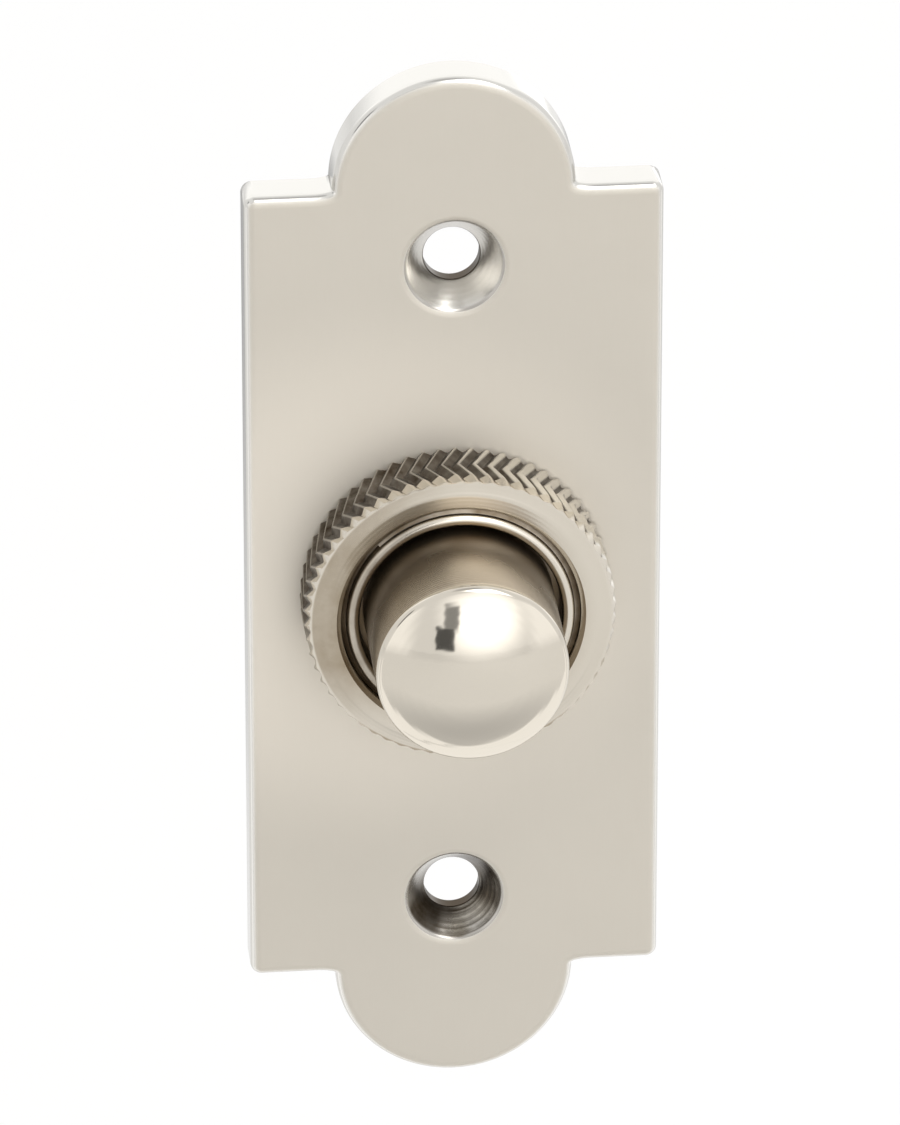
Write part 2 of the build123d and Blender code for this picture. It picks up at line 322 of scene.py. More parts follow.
def plate_nickel():
    """Nickel plate on a cast plate. Its front has gone satin and hazy, with hairlines up the plate,
    and is painted a little lighter round the collar, a painted light that cancels the shade which the collar
    and button cast there. Its edges and walls are rubbed bright, half as much round the screw holes.
    Real hairlines are too fine to show, so they are drawn coarser."""
    hairline, stretch = 0.22, 0.06
    # Where the painted light round the collar is centred, left of and above the axis, and how far it
    # reaches, in millimetres
    painted_light_left, painted_light_up, painted_light_reach = 6.0, 1.0, 14.0
    worn_from, worn_to = 0.04, 0.3
    material, tree = new_material("satin_nickel_plate")
    place = add(tree, "TexCoord").outputs["Object"]
    depth = add(tree, "SeparateXYZ", {0: place}).outputs["Y"]
    clouds, bump = polished(tree, place)
    upward = add(tree, "Mapping", {"Vector": place, "Scale": (1.0, 1.0, stretch)})
    hairs = add(tree, "TexNoise", {
        "Vector": upward.outputs["Vector"], "Scale": per_mm(hairline), "Detail": 2.0, "Roughness": 0.6})
    bump = add(tree, "Bump", {
        "Height": hairs.outputs["Fac"], "Normal": bump.outputs[0], "Strength": 1.0,
        "Distance": 0.0004 * MM})
    reach = radius_of(tree, folded(tree, place))
    outer = add(tree, "MapRange", {
        "Value": overlap(tree, (reach, countersink_radius + 1.0, countersink_radius + 2.0)),
        "To Min": 0.5, "To Max": 1.0})
    edge = overlap(tree, (depth, worn_from - plate_thickness, worn_to - plate_thickness), outer.outputs[0])
    # Painted light: a lighter tone round the collar that cancels the shade the collar and button cast on the
    # plate
    painted_light_centre = add(tree, "Mapping", {"Vector": place, "Location": (painted_light_left * MM, 0.0, -painted_light_up * MM)})
    painted_light_share = overlap(tree, (radius_of(tree, painted_light_centre.outputs["Vector"]), knurl_tip + painted_light_reach, knurl_tip))
    tone = add(tree, "Mix", {0: clouds, 6: linear("#C2BCB1"), 7: linear("#C6C0B5")}, data_type="RGBA")
    tone = add(tree, "Mix", {0: painted_light_share, 6: tone.outputs[2], 7: linear("#D7D0C4")}, data_type="RGBA")
    tone = add(tree, "Mix", {0: edge, 6: tone.outputs[2], 7: linear("#D6D4CF")}, data_type="RGBA")
    metallic = add(tree, "MapRange", {"Value": edge, "To Min": 0.5, "To Max": 1.0})
    roughness = add(tree, "MapRange", {"Value": edge, "To Min": 0.5, "To Max": 0.12})
    roughness = add(tree, "Math", {0: hairs.outputs["Fac"], 1: 0.06, 2: roughness.outputs[0]},
                    operation="MULTIPLY_ADD")
    shader = add(tree, "BsdfPrincipled", {
        "Base Color": tone.outputs[2], "Metallic": metallic.outputs[0], "Roughness": roughness.outputs[0],
        "Normal": bump.outputs[0]})
    add(tree, "OutputMaterial", {"Surface": shader.outputs[0]})
    return material


def hole_film(tree, place):
    """Film in the screw holes: inside both bores, thinner on the rims and in the upper countersink, and
    all over the lower one, apart from its upper left and the cutter's scores at its lower right."""
    height = add(tree, "SeparateXYZ", {0: place}).outputs["Z"]
    hole = folded(tree, place)
    reach = radius_of(tree, hole)
    across = add(tree, "SeparateXYZ", {0: hole})
    slant = add(tree, "Math", {0: across.outputs["X"], 1: across.outputs["Z"]}, operation="ADD").outputs[0]
    scores = add(tree, "TexNoise", {"W": reach, "Scale": per_mm(0.3), "Detail": 3.0}, noise_dimensions="1D")
    scores = add(tree, "MapRange", {"Value": scores.outputs["Fac"], "From Min": 0.35, "From Max": 0.6})
    bared = add(tree, "MapRange", {
        "Value": overlap(tree, (slant, 1.2, 3.4)), "To Min": 0.06, "To Max": 0.95})
    scored = overlap(tree, scores.outputs[0], bared.outputs[0], clouded(tree, place, 0.9, 0.4, 1.0))
    kept = add(tree, "Math", {0: 1.0, 1: scored}, operation="SUBTRACT")
    wiped = add(tree, "MapRange", {
        "Value": slant, "From Min": -2.2 * MM, "From Max": -4.6 * MM, "To Min": 1.0, "To Max": 0.2})
    lower = add(tree, "MapRange", {
        "Value": overlap(tree, (height, 0.0, -1.0)), "To Min": 0.12, "To Max": 1.0})
    cone = overlap(
        tree, lower.outputs[0], kept.outputs[0], wiped.outputs[0],
        (reach, countersink_radius - 0.05, countersink_radius - 0.35), clouded(tree, place, 1.6, 0.85, 1.0))
    rim = overlap(tree, (reach, countersink_radius - 0.35, countersink_radius - 0.1), 0.45)
    bore = overlap(tree, (reach, screw_hole_radius + 0.12, screw_hole_radius + 0.02))
    return bore, rim, cone


def knurl_film_and_painted_shade(tree, place):
    """Film on the knurl fills the roots. On the upper left it covers nearly all the teeth as painted shade,
    and towards the right it thins as painted light, where the light falls."""
    axis = add(tree, "SeparateXYZ", {0: place})
    # Painted light and shade: the film thins to the right, where the light falls, and stays on the upper
    # left
    painted_light_right = overlap(tree, (axis.outputs["X"], -2.0, 7.0))
    height = add(tree, "Math", {0: painted_light_right, 1: 0.26 * MM, 2: radius_of(tree, place)},
                 operation="MULTIPLY_ADD").outputs[0]
    teeth = overlap(
        tree, (height, knurl_tip + 0.04, knurl_tip - 0.11), (axis.outputs["Z"], -5.0, -1.0),
        clouded(tree, place, 1.2, 0.8, 1.0))
    return [teeth]


def face_film_and_painted_shade(tree, place):
    """Film on the collar's turned face, down its inner bevel towards the bore. To the upper left it is
    painted shade, as on the knurl, and the face is also darker on its lowest edge."""
    axis = add(tree, "SeparateXYZ", {0: place})
    reach = radius_of(tree, place)
    clouds = clouded(tree, place, 2.5, 0.7, 1.0)
    # Painted shade: the face is darker to the upper left, away from the light
    left = overlap(tree, (axis.outputs["X"], 1.0, -10.0), (axis.outputs["Z"], -10.0, -3.0))
    left = add(tree, "MapRange", {"Value": left, "To Min": 0.06, "To Max": 0.7}).outputs[0]
    flat = overlap(tree, left, (reach, knurl_tip - 0.45, knurl_tip - 0.65))
    inward = overlap(tree, (reach, collar_crest_ring - 0.05, collar_bore + 0.3))
    face = add(tree, "Math", {0: inward, 1: 0.1, 2: flat}, operation="MULTIPLY_ADD").outputs[0]
    # Darker on the lowest edge of the face
    lowest = overlap(
        tree, (reach, knurl_tip - 0.6, knurl_tip - 0.4), (axis.outputs["Z"], -8.0, -10.0), 0.8, clouds)
    return overlap(tree, face, clouds), lowest


def barrel_film_and_painted_shade(tree, place):
    """Film on the barrel: in the thread around the lip, and in patches behind the plate. Inside the bore
    the brown is painted shade, and the barrel is darker on its left."""
    axis = add(tree, "SeparateXYZ", {0: place})
    reach = radius_of(tree, place)
    # Painted shade: darker inside the bore, where shade falls between the barrel and the button
    inside = overlap(
        tree, (reach, bore_radius + 0.3, bore_radius + 0.05),
        (axis.outputs["Y"], -barrel_front + 0.3, -barrel_front + 0.8))
    left = overlap(tree, (axis.outputs["X"], 0.0, -7.0), clouded(tree, place, 2.0, 0.3, 0.6))
    thread = overlap(
        tree, (reach, thread_root - 0.15, thread_root),
        (axis.outputs["Y"], -plate_thickness + 0.5, -plate_thickness), clouded(tree, place, 2.0, 0.6, 0.95))
    behind = overlap(tree, (axis.outputs["Y"], -1.0, 0.0), clouded(tree, place, 4.0, 0.1, 0.5))
    return inside, left, thread, behind


def shank_film_and_painted_shade(tree, place):
    """Film on the button all along the shank, with painted shade that darkens it further towards the bore.
    """
    depth = add(tree, "SeparateXYZ", {0: place}).outputs["Y"]
    head = button_apex - dome_height
    # Painted shade: the shank darkens as it goes into the bore
    painted_shade_to_bore = add(tree, "MapRange", {
        "Value": overlap(tree, (depth, -head, -collar_front + 1.0)), "To Min": 0.5, "To Max": 1.0})
    shank = overlap(
        tree, (depth, -head + 0.2, -head + 0.9), painted_shade_to_bore.outputs[0],
        clouded(tree, place, 3.0, 0.8, 1.0, detail=0.0))
    return [shank]


def linished_nickel():
    """Thin nickel on the plate's back, which was only ground flat on a belt.
    It is dull and grey, with straight scratches that run up the plate, drawn coarse enough to show."""
    scratch, stretch = 0.35, 0.025
    material, tree = new_material("linished_nickel_back")
    place = add(tree, "TexCoord").outputs["Object"]
    along = add(tree, "Mapping", {"Vector": place, "Scale": (1.0, 1.0, stretch)})
    grit = add(tree, "TexNoise", {
        "Vector": along.outputs["Vector"], "Scale": per_mm(scratch), "Detail": 4.0, "Roughness": 0.7})
    stain = add(tree, "TexNoise", {"Vector": place, "Scale": per_mm(14.0), "Detail": 4.0})
    tone = add(tree, "Mix", {
        0: stain.outputs["Fac"], 6: linear("#A2988A"), 7: linear("#BDB4A6")}, data_type="RGBA")
    scratches = add(tree, "MapRange", {
        "Value": grit.outputs["Fac"], "From Min": 0.46, "From Max": 0.66, "To Max": 0.5})
    tone = add(tree, "Mix", {
        0: scratches.outputs[0], 6: tone.outputs[2], 7: linear("#7F7568")}, data_type="RGBA")
    roughness = add(tree, "MapRange", {"Value": grit.outputs["Fac"], "To Min": 0.2, "To Max": 0.5})
    bump = add(tree, "Bump", {"Height": grit.outputs["Fac"], "Strength": 1.0, "Distance": 0.01 * MM})
    shader = add(tree, "BsdfPrincipled", {
        "Base Color": tone.outputs[2], "Metallic": 1.0, "Roughness": roughness.outputs[0],
        "Normal": bump.outputs[0]})
    add(tree, "OutputMaterial", {"Surface": shader.outputs[0]})
    return material


def turned_metal(name, bright, dull, line_width, rough):
    """Plain metal from the lathe or the press, without plate. It is satin, with tool lines that are
    drawn coarse enough to show, and a patchy film from handling."""
    material, tree = new_material(name)
    place = add(tree, "TexCoord").outputs["Object"]
    patches = add(tree, "TexNoise", {
        "Vector": place, "Scale": per_mm(2.5), "Detail": 5.0, "Roughness": 0.65})
    tone = add(tree, "Mix", {
        0: patches.outputs["Fac"], 6: linear(dull), 7: linear(bright)}, data_type="RGBA")
    lines = add(tree, "TexWave", {
        "Vector": place, "Scale": bands(line_width), "Distortion": 1.5, "Detail": 2.0}, bands_direction="Y")
    roughness = add(tree, "MapRange", {
        "Value": patches.outputs["Fac"], "From Min": 0.3, "From Max": 0.7,
        "To Min": rough + 0.14, "To Max": rough})
    bump = add(tree, "Bump", {"Height": lines.outputs["Fac"], "Strength": 1.0, "Distance": 0.003 * MM})
    shader = add(tree, "BsdfPrincipled", {
        "Base Color": tone.outputs[2], "Metallic": 1.0, "Roughness": roughness.outputs[0],
        "Normal": bump.outputs[0]})
    add(tree, "OutputMaterial", {"Surface": shader.outputs[0]})
    return material


def moulded_phenolic():
    """Phenolic moulded with wood flour. It is brown-black with a faint mottle and a hard gloss
    that the mould gave it."""
    material, tree = new_material("moulded_phenolic")
    place = add(tree, "TexCoord").outputs["Object"]
    mottle = add(tree, "TexNoise", {"Vector": place, "Scale": per_mm(1.2), "Detail": 6.0, "Roughness": 0.7})
    tone = add(tree, "MapRange", {"Value": mottle.outputs["Fac"], "From Min": 0.4, "From Max": 0.7})
    colour = add(tree, "Mix", {
        0: tone.outputs[0], 6: linear("#2A1B14"), 7: linear("#4A2F21")}, data_type="RGBA")
    roughness = add(tree, "MapRange", {"Value": mottle.outputs["Fac"], "To Min": 0.22, "To Max": 0.42})
    bump = add(tree, "Bump", {"Height": mottle.outputs["Fac"], "Strength": 1.0, "Distance": 0.006 * MM})
    shader = add(tree, "BsdfPrincipled", {
        "Base Color": colour.outputs[2], "Roughness": roughness.outputs[0], "IOR": 1.6,
        "Normal": bump.outputs[0]})
    add(tree, "OutputMaterial", {"Surface": shader.outputs[0]})
    return material


def vulcanised_fibre():
    """Red vulcanised fibre, turned from rod. It is matt, with paper fibres along the rod."""
    fibre_width, stretch = 0.3, 0.15
    material, tree = new_material("turned_vulcanised_fibre")
    place = add(tree, "TexCoord").outputs["Object"]
    along = add(tree, "Mapping", {"Vector": place, "Scale": (1.0, stretch, 1.0)})
    fibres = add(tree, "TexNoise", {
        "Vector": along.outputs["Vector"], "Scale": per_mm(fibre_width), "Detail": 4.0})
    colour = add(tree, "Mix", {
        0: fibres.outputs["Fac"], 6: linear("#7A2E22"), 7: linear("#9C4636")}, data_type="RGBA")
    bump = add(tree, "Bump", {"Height": fibres.outputs["Fac"], "Strength": 1.0, "Distance": 0.01 * MM})
    shader = add(tree, "BsdfPrincipled", {
        "Base Color": colour.outputs[2], "Roughness": 0.65, "Normal": bump.outputs[0]})
    add(tree, "OutputMaterial", {"Surface": shader.outputs[0]})
    return material


def arc(centre, radius, start, end, steps):
    """Points on an arc, with angles in degrees, as pairs of radius and depth."""
    turns = [radians(start + (end - start) * i / steps) for i in range(steps + 1)]
    return [(centre[0] + radius * cos(t), centre[1] + radius * sin(t)) for t in turns]


def turned(outline, edges=(), edge_radius=0.0, around=ROUND):
    """A turned solid. The outline runs round its section as pairs of radius and depth,
    and edges lists the corners that are broken to the edge radius."""
    bm = bmesh.new()
    corners = [bm.verts.new((radius, 0, depth)) for radius, depth in outline]
    section = bm.faces.new(corners)
    if edges:
        bmesh.ops.bevel(bm, geom=[corners[i] for i in edges], offset=edge_radius, affect="VERTICES",
                        segments=3, profile=0.5, material=-1)
        section = bm.faces[:][0]
    bmesh.ops.delete(bm, geom=[section], context="FACES_ONLY")
    on_axis = [edge for edge in bm.edges if all(abs(v.co.x) < NEAR for v in edge.verts)]
    bmesh.ops.delete(bm, geom=on_axis, context="EDGES")
    bmesh.ops.spin(bm, geom=bm.verts[:] + bm.edges[:], cent=(0, 0, 0), axis=(0, 0, 1), dvec=(0, 0, 0),
                   angle=tau, steps=around, use_merge=True)
    return closed(bm)


def closed(bm):
    """Merges what coincides and turns all faces outwards."""
    bmesh.ops.remove_doubles(bm, verts=bm.verts[:], dist=NEAR / 10)
    bmesh.ops.dissolve_degenerate(bm, dist=NEAR / 100, edges=bm.edges[:])
    bmesh.ops.recalc_face_normals(bm, faces=bm.faces[:])
    return bm


def shaped(bm, tool, operation):
    """The bmesh cut by a tool or kept inside it. The tool is used up."""
    blanks = []
    for name, source in (("blank", bm), ("tool", tool)):
        mesh = bpy.data.meshes.new(name)
        source.to_mesh(mesh)
        source.free()
        blank = bpy.data.objects.new(name, mesh)
        bpy.context.scene.collection.objects.link(blank)
        blanks.append(blank)
    work = blanks[0].modifiers.new("work", "BOOLEAN")
    work.operation = operation
    work.solver = "EXACT"
    work.object = blanks[1]
    bpy.context.view_layer.update()
    mesh = bpy.data.meshes.new_from_object(blanks[0].evaluated_get(bpy.context.evaluated_depsgraph_get()))
    result = bmesh.new()
    result.from_mesh(mesh)
    bpy.data.meshes.remove(mesh)
    for blank in blanks:
        bpy.data.meshes.remove(blank.data)
    return result


def only(kind, geometry):
    """The vertices or the edges among what an operator gives back."""
    return [part for part in geometry if isinstance(part, kind)]


def softened(bm, edges, size, segments):
    """Rounds edges, so that they catch the light."""
    bmesh.ops.bevel(bm, geom=edges, offset=size, affect="EDGES", segments=segments, profile=0.5, material=-1)


def moved(bm, up):
    """The bmesh, shifted up the plate."""
    bmesh.ops.translate(bm, vec=(0, up, 0), verts=bm.verts[:])
    return bm


def joined(*parts):
    """Several bmeshes as one."""
    whole = bmesh.new()
    for part in parts:
        mesh = bpy.data.meshes.new("part")
        part.to_mesh(mesh)
        part.free()
        whole.from_mesh(mesh)
        bpy.data.meshes.remove(mesh)
    return whole


def block(width, height, low, high):
    """A box across the axis, from one depth to another."""
    bm = bmesh.new()
    bmesh.ops.create_cube(bm, size=1.0)
    bmesh.ops.scale(bm, vec=(width, height, high - low), verts=bm.verts[:])
    bmesh.ops.translate(bm, vec=(0, 0, (low + high) / 2), verts=bm.verts[:])
    return bm


def helix(root, crest, pitch, start, end, around):
    """A thread's ridge from one depth to another, its foot sunk a little below the root."""
    sink = 0.05
    foot, top = 0.42 * pitch, 0.08 * pitch
    bm = bmesh.new()
    section = [bm.verts.new((r, 0, start + d)) for r, d in
               ((root - sink, -foot), (crest, -top), (crest, top), (root - sink, foot))]
    face = bm.faces.new(section)
    steps = round((end - start) / pitch * around)
    bmesh.ops.spin(bm, geom=[face], cent=(0, 0, 0), axis=(0, 0, 1), dvec=(0, 0, pitch / around),
                   angle=tau * steps / around, steps=steps)
    return closed(bm)


def piece(name, bm, materials, nodes, body="housing", crease=35.0):
    """A finished piece: stood up, in metres, shaded smooth and carried by its body."""
    bm.transform(Matrix.Scale(MM, 4) @ STAND_UP)
    mesh = bpy.data.meshes.new(name)
    bm.to_mesh(mesh)
    bm.free()
    for material in materials:
        mesh.materials.append(material)
    mesh.shade_smooth()
    mesh.set_sharp_from_angle(angle=radians(crease))
    made = bpy.data.objects.new(name, mesh)
    bpy.context.scene.collection.objects.link(made)
    flat = made.modifiers.new("even_shading", "WEIGHTED_NORMAL")
    flat.keep_sharp = True
    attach(made, body)
    if nodes:
        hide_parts(*nodes)
    return made


def plate_blank():
    """The plate without its holes: the outline, its roots rounded, drawn forward and softened in front."""
    bm = bmesh.new()
    for side in (1, -1):
        root = bm.verts.new((side * lug_radius, side * plate_body_half, 0))
        bmesh.ops.spin(bm, geom=[root], cent=(0, side * plate_body_half, 0), axis=(0, 0, 1),
                       dvec=(0, 0, 0), angle=pi, steps=ROUND // 2)
    ends = {(v.co.x > 0, v.co.y > 0): v for v in bm.verts if len(v.link_edges) == 1}
    for right in (True, False):
        half = plate_width / 2 if right else -plate_width / 2
        top = bm.verts.new((half, plate_body_half, 0))
        bottom = bm.verts.new((half, -plate_body_half, 0))
        for a, b in ((ends[right, True], top), (top, bottom), (bottom, ends[right, False])):
            bm.edges.new((a, b))
    bmesh.ops.contextual_create(bm, geom=bm.edges[:])
    bmesh.ops.bevel(bm, geom=list(ends.values()), offset=lug_root_radius, affect="VERTICES",
                    segments=8, profile=0.5, material=-1)
    grown = bmesh.ops.extrude_face_region(bm, geom=bm.faces[:])["geom"]
    bmesh.ops.translate(bm, vec=(0, 0, plate_thickness), verts=only(BMVert, grown))
    bmesh.ops.recalc_face_normals(bm, faces=bm.faces[:])
    corner = plate_width / 2 - NEAR
    soft = [e for e in bm.edges if all(v.co.z > plate_thickness - NEAR for v in e.verts)]
    soft += [e for e in bm.edges if abs(e.verts[0].co.z - e.verts[1].co.z) > plate_thickness / 2
             and abs(e.verts[0].co.x) > corner]
    softened(bm, soft, plate_edge_radius, 8)
    back = [e for e in bm.edges if all(v.co.z < NEAR for v in e.verts)]
    softened(bm, back, plate_back_edge, 2)
    return bm


def from_screw_hole(point):
    """The distance of a point from the middle of the nearer screw hole."""
    return (point.xy - Vector((0, screw_height if point.y > 0 else -screw_height))).length


def bell_plate():
    """The plate with both countersunk holes, the hole for the barrel and the recess behind it."""
    bm = plate_blank()
    slope = tan(radians(countersink_angle / 2))
    cone = plate_thickness - (countersink_radius - screw_hole_radius) / slope
    for side in (1, -1):
        drill = turned([
            (0, -OVER), (screw_hole_radius, -OVER), (screw_hole_radius, cone),
            (countersink_radius + OVER * slope, plate_thickness + OVER), (0, plate_thickness + OVER)])
        bm = shaped(bm, moved(drill, side * screw_height), "DIFFERENCE")
    recess_radius = flange_radius + fit_clearance
    hole_radius = thread_crest + fit_clearance
    hole = turned([
        (0, -OVER), (recess_radius, -OVER), (recess_radius, flange_thickness),
        (hole_radius, flange_thickness), (hole_radius, plate_thickness + OVER),
        (0, plate_thickness + OVER)])
    bm = shaped(bm, hole, "DIFFERENCE")
    rims = []
    for edge in bm.edges:
        flush = all(v.co.z > plate_thickness - NEAR for v in edge.verts)
        if flush and all(abs(from_screw_hole(v.co) - countersink_radius) < 10 * NEAR for v in edge.verts):
            rims.append(edge)
    softened(bm, rims, countersink_rim, 5)
    for face in bm.faces:
        middle = face.calc_center_median()
        if face.normal.z < -0.5 and middle.z < NEAR:
            face.material_index = 1
        elif from_screw_hole(middle) < countersink_radius:
            face.material_index = 2
        else:
            face.material_index = 0
    return bm


def ring_on(bm, edges, radius, depth):
    """Draws a ring of edges on to a new radius and depth, and returns the new ring."""
    grown = bmesh.ops.extrude_edge_only(bm, edges=edges)["geom"]
    for vert in only(BMVert, grown):
        reach = vert.co.xy.length
        vert.co = (vert.co.x * radius / reach, vert.co.y * radius / reach, depth)
    return only(BMEdge, grown)


def open_ring(bm, depth):
    """The open edges that lie at one depth."""
    return [e for e in bm.edges if e.is_boundary and all(abs(v.co.z - depth) < NEAR for v in e.verts)]


def knurl():
    """The collar's teeth: two slanting rows that meet in chevrons and are turned down in front,
    with broken crests and roots, open at both ends."""
    depths = []
    for start, end in ((knurl_low, knurl_fold), (knurl_fold, knurl_turned_down)):
        depths += [start + (end - start) * i / knurl_steps for i in range(1, knurl_steps + 1)]
    depths.append(knurl_high)
    lean_per_depth = radians(knurl_lean) / (knurl_fold - knurl_low)
    bm = bmesh.new()
    ring = bmesh.ops.create_circle(bm, segments=2 * knurl_teeth, radius=knurl_tip)["verts"]
    bmesh.ops.rotate(bm, verts=ring, cent=(0, 0, 0),
                     matrix=Matrix.Rotation(-atan2(ring[0].co.y, ring[0].co.x), 3, "Z"))
    bmesh.ops.scale(bm, vec=(knurl_root / knurl_tip, knurl_root / knurl_tip, 1), verts=ring[1::2])
    bmesh.ops.translate(bm, vec=(0, 0, knurl_low), verts=ring)
    edges = bm.edges[:]
    depth = knurl_low
    for next_depth in depths:
        grown = bmesh.ops.extrude_edge_only(bm, edges=edges)["geom"]
        verts, edges = only(BMVert, grown), only(BMEdge, grown)
        lean = lean_per_depth * (next_depth - depth) * (1 if next_depth < knurl_fold + NEAR else -1)
        bmesh.ops.rotate(bm, verts=verts, cent=(0, 0, 0), matrix=Matrix.Rotation(lean, 3, "Z"))
        bmesh.ops.translate(bm, vec=(0, 0, next_depth - depth), verts=verts)
        depth = next_depth
    smaller = (knurl_tip - knurl_chamfer) / knurl_tip
    tips = [v for v in verts if v.co.xy.length > knurl_tip - knurl_depth / 2]
    bmesh.ops.scale(bm, vec=(smaller, smaller, 1), verts=tips)
    long_edges = [e for e in bm.edges if abs(e.verts[0].co.z - e.verts[1].co.z) > NEAR]
    crests = [e for e in long_edges if all(v.co.xy.length > knurl_root + knurl_root_edge for v in e.verts)]
    high = set(crests)
    roots = [e for e in long_edges if e not in high]
    softened(bm, crests, knurl_crest_edge, 2)
    softened(bm, [e for e in roots if e.is_valid], knurl_root_edge, 1)
    return bm


def collar():
    """The knurled collar: its teeth, then the turned face, the crest and the bore."""
    bm = knurl()
    edges = open_ring(bm, knurl_high)
    mouth = collar_front - collar_bevel_depth
    for radius, depth in (
            (collar_core, knurl_high), (collar_crest_ring, collar_front),
            (collar_bore + collar_lead, mouth), (collar_bore, mouth - collar_lead),
            (collar_bore, collar_back), (collar_core, collar_back), (collar_core, knurl_low)):
        edges = ring_on(bm, edges, radius, depth)
    inner = set(edges)
    ring_on(bm, [e for e in open_ring(bm, knurl_low) if e not in inner], collar_core, knurl_low)
    closed(bm)
    crest = [e for e in bm.edges if all(v.co.z > collar_front - NEAR for v in e.verts)]
    softened(bm, crest, collar_crest_edge, 4)
    for face in bm.faces:
        middle = face.calc_center_median()
        toothed = middle.xy.length > collar_core and knurl_low + NEAR < middle.z < knurl_turned_down
        face.material_index = 1 if toothed else 0
    return bm


def barrel():
    """The barrel: rounded front lip, guide for the button, flange behind the plate and grooved skirt."""
    lip = (bore_radius + lip_radius, barrel_front - lip_radius)
    stop = barrel_front - guide_length
    groove_back = skirt_back + skirt_end_length
    outline = arc(lip, lip_radius, 180, 0, 12) + [
        (thread_root, barrel_front - lip_radius - lip_taper), (thread_root, flange_thickness)]
    flange = len(outline)
    outline += [
        (flange_radius, flange_thickness), (flange_radius, 0), (skirt_radius, 0),
        (skirt_radius, skirt_back), (seat_radius, skirt_back), (seat_radius, groove_back),
        (groove_radius, groove_back), (groove_radius, base_back), (seat_radius, base_back),
        (seat_radius, cup_floor), (counterbore_radius, cup_floor), (counterbore_radius, stop),
        (bore_radius, stop)]
    # The edges of the flange and of the skirt's end are broken
    broken = [flange + i for i in (0, 1, 3, 4)]
    return turned(outline, edges=broken, edge_radius=turned_edge)


def barrel_thread():
    """The thread on the barrel, from a gap in front of the plate to the cone that trims it at the lip."""
    lip_base = barrel_front - lip_radius
    start, end = plate_thickness + thread_gap, lip_base + thread_pitch / 8
    ridge = helix(thread_root, thread_crest, thread_pitch, start, end, ROUND)
    cone = turned([
        (0, flange_thickness), (thread_crest + OVER, flange_thickness),
        (thread_crest + OVER, lip_base - thread_cone), (bore_radius + 2 * lip_radius, lip_base),
        (0, lip_base)])
    return shaped(ridge, cone, "INTERSECT")


def button():
    """The push button: domed head, rounded shoulder, shank, flange and drilled tail."""
    dome_radius = (button_radius**2 + dome_height**2) / (2 * dome_height)
    dome_centre = button_apex - dome_radius
    inset = button_radius - shoulder_radius
    rise = sqrt((dome_radius - shoulder_radius) ** 2 - inset**2)
    meet = degrees(atan2(rise, inset))
    flange_back = tail_end + tail_length
    flange_front = flange_back + button_flange_thickness
    outline = arc((0, dome_centre), dome_radius, 90, meet, 48)
    outline += arc((inset, dome_centre + rise), shoulder_radius, meet, 0, 10)[1:]
    outline += [
        (button_radius, flange_front), (button_flange_radius, flange_front),
        (button_flange_radius, flange_back), (tail_radius, flange_back), (tail_radius, tail_end),
        (tip_hole_radius, tail_end), (tip_hole_radius, tail_end + tip_hole_length),
        (0, tail_end + tip_hole_length)]
    return turned(outline)


def moulded_base():
    """The contact base: a cup with a thick floor, the strips' channel and the terminals' holes."""
    bm = turned([
        (0, base_back), (base_radius, base_back), (base_radius, cup_floor), (cup_outer_radius, cup_floor),
        (cup_outer_radius, cup_rim), (cup_inner_radius, cup_rim), (cup_inner_radius, cup_floor),
        (0, cup_floor)], edges=(1, 4, 5), edge_radius=moulded_edge)
    channel = block(
        strip_width + 2 * fit_clearance, 2 * leaf_high.z, cup_floor - channel_depth, cup_floor + OVER)
    bm = shaped(bm, channel, "DIFFERENCE")
    bore = terminal_radius + terminal_fit
    for side in (1, -1):
        drill = turned([
            (0, base_back - OVER), (bore, base_back - OVER),
            (bore, cup_floor + OVER), (0, cup_floor + OVER)], around=SMALL_ROUND)
        bm = shaped(bm, moved(drill, side * terminal_height), "DIFFERENCE")
    return bm


def leaf():
    """The contact leaf: foot, hairpin bend, rising run, crown under the button and free end."""
    foot_depth = -leaf_high.y + strip_thickness / 2
    crown_depth = -leaf_low.y - strip_thickness / 2
    bend_height = leaf_high.z - leaf_bend_radius - strip_thickness / 2
    foot_start = terminal_height - foot_inner_length
    climb = crown_depth - foot_depth - leaf_bend_radius * (1 + cos(leaf_rise))
    run = (climb - leaf_crown_radius * (1 - cos(leaf_rise))) / sin(leaf_rise)
    heading = pi - leaf_rise
    bm = bmesh.new()
    half = strip_width / 2
    edge = bm.edges.new([bm.verts.new((x, foot_start, foot_depth)) for x in (-half, half)])

    def straight(edge, length, direction):
        grown = bmesh.ops.extrude_edge_only(bm, edges=[edge])["geom"]
        bmesh.ops.translate(bm, verts=only(BMVert, grown),
                            vec=(0, length * cos(direction), length * sin(direction)))
        return only(BMEdge, grown)[0]

    def bent(edge, radius, direction, angle):
        at = edge.verts[0].co
        centre = (0, at.y - radius * sin(direction), at.z + radius * cos(direction))
        ends = bmesh.ops.spin(bm, geom=[*edge.verts, edge], cent=centre, axis=(1, 0, 0), dvec=(0, 0, 0),
                              angle=angle, steps=24)["geom_last"]
        return only(BMEdge, ends)[0]

    edge = straight(edge, bend_height - foot_start, 0)
    edge = bent(edge, leaf_bend_radius, 0, heading)
    edge = straight(edge, run, heading)
    edge = bent(edge, leaf_crown_radius, heading, 2 * leaf_rise)
    straight(edge, leaf_end_length, heading + 2 * leaf_rise)
    bmesh.ops.remove_doubles(bm, verts=bm.verts[:], dist=NEAR / 10)
    bmesh.ops.recalc_face_normals(bm, faces=bm.faces[:])
    bmesh.ops.solidify(bm, geom=bm.faces[:], thickness=strip_thickness)
    bmesh.ops.recalc_face_normals(bm, faces=bm.faces[:])
    return bm, foot_depth, crown_depth


